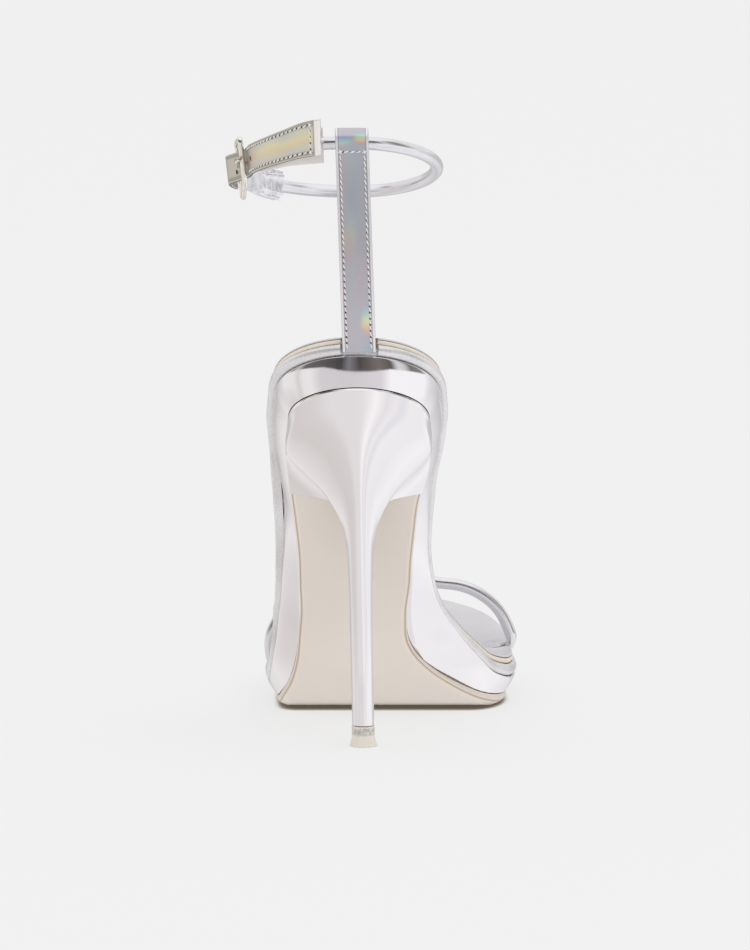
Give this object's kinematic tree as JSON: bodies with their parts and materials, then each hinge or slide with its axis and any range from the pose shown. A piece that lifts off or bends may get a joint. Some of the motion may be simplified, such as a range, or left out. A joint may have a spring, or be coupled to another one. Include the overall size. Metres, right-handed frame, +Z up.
{
  "type": "strappy heeled sandal",
  "caption": "Left stiletto sandal in mirror silver with a rolled edge, an upright heel strap, a tubular ankle strap with a side buckle and a thin toe loop.",
  "frame": {"origin": "middle of the heel tip's flat underside, on the floor", "axes": "+Z up, +Y towards the toe, +X towards the inner side of the foot"},
  "size_m": [0.0938, 0.2097, 0.1983],
  "materials": {
    "mirror_silver": "mirror-finish silver coated leather over a moulded core",
    "satin_silver": "satin metallic silver",
    "holographic_silver": "holographic silver with faint rainbow tints",
    "footbed_silver": "soft metallic grey-lilac",
    "cream_edge": "matte cream cut edge",
    "beige_sole": "smooth matte beige",
    "pale_gold_metal": "polished pale gold plating",
    "cream_plastic": "translucent cream"
  },
  "bodies": {
    "root": {"footbed_cover": "footbed_silver", "footbed_cushion": "cream_edge", "insole_board": "cream_edge", "edge_binding": "satin_silver", "platform": "mirror_silver", "outsole": "beige_sole", "heel": "mirror_silver", "heel_tip": "cream_plastic", "heel_strap": "holographic_silver", "ankle_tube": "satin_silver", "toe_strap": "satin_silver", "strap_tab": "holographic_silver", "tab_backing": "satin_silver", "buckle_frame": "pale_gold_metal", "buckle_prong": "pale_gold_metal", "chape": "satin_silver"}
  },
  "joints": []
}
